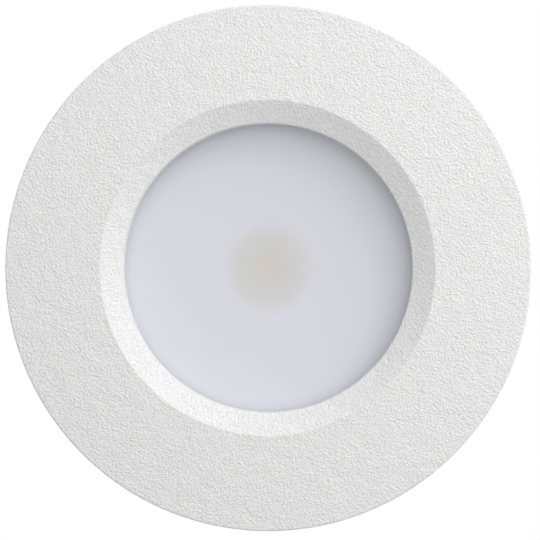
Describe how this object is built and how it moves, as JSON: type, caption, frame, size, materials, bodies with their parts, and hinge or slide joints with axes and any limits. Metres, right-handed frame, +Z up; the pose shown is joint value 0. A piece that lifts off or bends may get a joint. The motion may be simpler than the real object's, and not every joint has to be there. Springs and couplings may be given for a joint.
{
  "type": "soffit downlight",
  "caption": "Round recessed downlight with a textured white trim, a frosted lens, a finned body, spring clips and a rear cable gland.",
  "frame": {"origin": "on the light's axis, level with the soffit's underside, where the ceiling gasket's top seats", "axes": "+Z up into the soffit void, the light leaves towards -Z; the two spring clips are at +X and -X"},
  "size_m": [0.082, 0.082, 0.0627],
  "materials": {
    "trim_powder_coat": "fine-textured matt white powder coat on die-cast aluminium",
    "foam_gasket": "closed-cell black foam",
    "silicone_seal": "translucent grey silicone",
    "frosted_lens": "frosted opal polycarbonate",
    "reflector_white": "moulded white",
    "holder_plastic": "moulded white, matt",
    "zinc_steel": "bright zinc plate",
    "stainless_steel": "plain stainless steel",
    "spring_steel": "drawn spring wire",
    "led_substrate": "metal-core board",
    "led_phosphor": "phosphor-filled silicone",
    "thermal_pad_grey": "soft grey thermal pad",
    "cast_aluminium": "bead-blasted die casting",
    "circuit_board": "green solder mask",
    "ferrite": "dark ferrite",
    "capacitor_sleeve": "aluminium can on a black base",
    "chip_plastic": "black epoxy",
    "terminal_plastic": "moulded green",
    "lead_red": "smooth insulation",
    "lead_black": "smooth insulation",
    "black_rubber": "moulded rubber",
    "gland_nylon": "moulded black nylon",
    "pad_rubber": "soft grey-black cap"
  },
  "bodies": {
    "fixture_body": {"trim_ring": "trim_powder_coat", "ceiling_gasket": "foam_gasket", "lens_gasket": "silicone_seal", "diffuser_lens": "frosted_lens", "reflector": "reflector_white", "led_holder": "holder_plastic", "holder_screws": "zinc_steel", "cob_substrate": "led_substrate", "cob_phosphor": "led_phosphor", "thermal_pad": "thermal_pad_grey", "heatsink_housing": "cast_aluminium", "housing_seal": "silicone_seal", "housing_screws": "stainless_steel", "driver_board": "circuit_board", "driver_inductor": "ferrite", "driver_capacitors": "capacitor_sleeve", "driver_chips": "chip_plastic", "board_screws": "zinc_steel", "terminal_block": "terminal_plastic", "terminal_screws": "zinc_steel", "led_lead_positive": "lead_red", "led_lead_negative": "lead_black", "lead_grommet": "black_rubber", "rear_cover": "cast_aluminium", "rear_cover_seal": "silicone_seal", "rear_cover_screws": "stainless_steel", "gland_body": "gland_nylon", "gland_washer": "black_rubber", "gland_seal": "black_rubber", "gland_nut": "gland_nylon", "gland_locknut": "gland_nylon", "right_clip_bracket": "zinc_steel", "right_bracket_screws": "stainless_steel", "right_clip_pin": "stainless_steel", "right_clip_spring": "spring_steel", "left_clip_bracket": "zinc_steel", "left_bracket_screws": "stainless_steel", "left_clip_pin": "stainless_steel", "left_clip_spring": "spring_steel"},
    "right_clip": {"right_clip_arm": "zinc_steel", "right_clip_pad": "pad_rubber"},
    "left_clip": {"left_clip_arm": "zinc_steel", "left_clip_pad": "pad_rubber"}
  },
  "joints": [
    {"name": "right_clip_hinge", "type": "hinge", "parent": "fixture_body", "child": "right_clip", "pos_m": [0.0294, 0, 0.0276], "axis": [0, -1, 0], "range_deg": [0, 162], "stiffness_Nm_per_rad": 0.08, "springref_deg": -40.11, "deforming": ["right_clip_spring"]},
    {"name": "left_clip_hinge", "type": "hinge", "parent": "fixture_body", "child": "left_clip", "pos_m": [-0.0294, 0, 0.0276], "axis": [0, 1, 0], "range_deg": [0, 162], "stiffness_Nm_per_rad": 0.08, "springref_deg": -40.11, "deforming": ["left_clip_spring"]}
  ]
}
